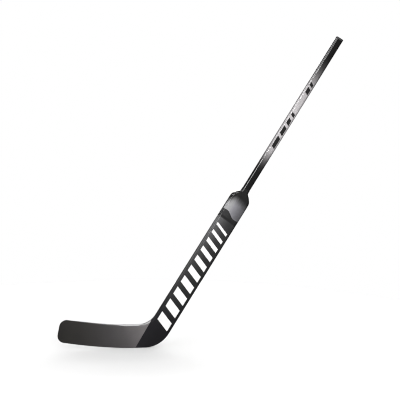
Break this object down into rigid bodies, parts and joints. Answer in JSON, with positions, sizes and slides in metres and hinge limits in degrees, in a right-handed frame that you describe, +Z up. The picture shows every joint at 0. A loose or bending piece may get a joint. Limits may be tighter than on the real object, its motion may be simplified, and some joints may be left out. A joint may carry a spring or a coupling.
{
  "type": "hockey goalie stick",
  "caption": "Composite ice hockey goalie stick: hollow shaft bonded into a wide foam-cored paddle that turns through a rounded heel into a curved blade.",
  "frame": {"origin": "the flat of the blade's sole under the heel, where the stick stands on the ice in its playing pose", "axes": "+Z up from the ice, -X towards the blade's toe, +X towards the leaning shaft, -Y the side with the pictured graphics, +Y the side the blade's curve bends to"},
  "size_m": [1.0533, 0.0403, 1.1437],
  "materials": {
    "paddle_laminate": "clear-coated black lacquer with a silver fade at the shoulder, over carbon and glass laminate",
    "blade_laminate": "satin lacquer over woven carbon, grey at the heel and black at the toe",
    "shaft_laminate": "clear-coated lacquer, black at both ends with a silver fade between",
    "plug_plastic": "moulded black plastic",
    "white_film": "white transfer film",
    "black_film": "black transfer film",
    "foam": "rigid closed-cell foam",
    "epoxy": "cured epoxy paste",
    "bare_carbon": "bare carbon laminate",
    "rail_strip": "light wood strip",
    "heel_composite": "dense filled foam",
    "rim_plastic": "moulded black plastic"
  },
  "bodies": {
    "root": {"paddle_front_skin": "paddle_laminate", "paddle_rear_skin": "paddle_laminate", "blade_front_skin": "blade_laminate", "blade_rear_skin": "blade_laminate", "shaft_tube": "shaft_laminate", "shaft_end_plug": "plug_plastic", "tenon_foam_stopper": "foam", "tenon_adhesive": "epoxy", "shoulder_filler": "epoxy", "paddle_upper_spar": "bare_carbon", "paddle_lower_spar": "bare_carbon", "paddle_middle_core": "foam", "paddle_upper_core": "foam", "paddle_lower_core": "foam", "paddle_upper_rail": "rail_strip", "paddle_lower_rail": "rail_strip", "heel_block": "heel_composite", "blade_bridge": "bare_carbon", "blade_lower_core": "foam", "blade_upper_core": "foam", "blade_rim": "rim_plastic", "paddle_front_film": "white_film", "paddle_rear_film": "white_film", "shaft_front_film": "black_film", "shaft_rear_film": "black_film"}
  },
  "joints": []
}
